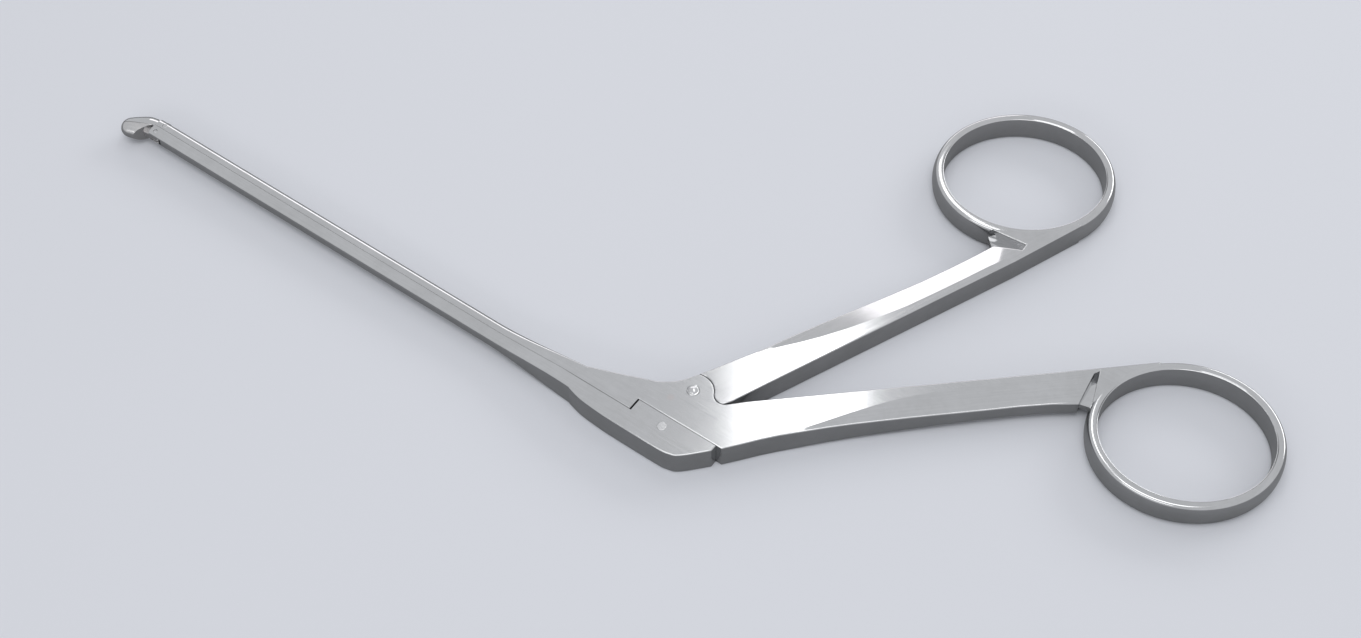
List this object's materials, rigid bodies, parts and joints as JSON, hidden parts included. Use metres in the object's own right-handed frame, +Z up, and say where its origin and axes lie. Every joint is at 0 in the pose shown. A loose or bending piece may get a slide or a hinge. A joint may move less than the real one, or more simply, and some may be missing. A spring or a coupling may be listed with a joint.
{
  "type": "micro ear forceps",
  "caption": "Slim ring-handled micro forceps: a finger ring swings a handle that slides the lower half of a long straight shaft and opens one small cup jaw.",
  "frame": {"origin": "the axis of the handles' pivot pin, in the plane that the forceps lies on", "axes": "+X runs from the jaws along the shaft to the handles, +Y is the finger ring's side, +Z is up and is the axis of every pin"},
  "size_m": [0.1692, 0.0834, 0.0041],
  "materials": {
    "frame_steel": "satin stainless steel, brushed along the shanks",
    "handle_steel": "satin stainless steel, brushed along the shank",
    "slider_steel": "satin stainless steel, polished along the shaft",
    "jaw_steel": "polished stainless steel",
    "pin_steel": "peened and ground stainless steel"
  },
  "bodies": {
    "frame": {"fixed_frame": "frame_steel", "pivot_pin": "pin_steel", "jaw_pin": "pin_steel"},
    "handle": {"finger_handle": "handle_steel"},
    "slide": {"slider": "slider_steel", "drive_pin": "pin_steel", "link_pin": "pin_steel"},
    "jaw": {"lower_jaw": "jaw_steel"}
  },
  "joints": [
    {"name": "handle_pivot", "type": "hinge", "parent": "frame", "child": "handle", "pos_m": [0, 0, 0.002], "axis": [0, 0, 1], "range_deg": [0, 7.6]},
    {"name": "slider_travel", "type": "slide", "parent": "frame", "child": "slide", "axis": [1, 0, 0], "range_m": [0, 0.000963]},
    {"name": "jaw_hinge", "type": "hinge", "parent": "frame", "child": "jaw", "pos_m": [-0.0924, -0.00675, 0.002], "axis": [0, 0, 1], "range_deg": [0, 35]}
  ],
  "couplings": [
    {"joint": "slider_travel", "follows": "handle_pivot", "m_per_rad": 0.007255},
    {"joint": "jaw_hinge", "follows": "handle_pivot", "ratio": 4.6}
  ]
}
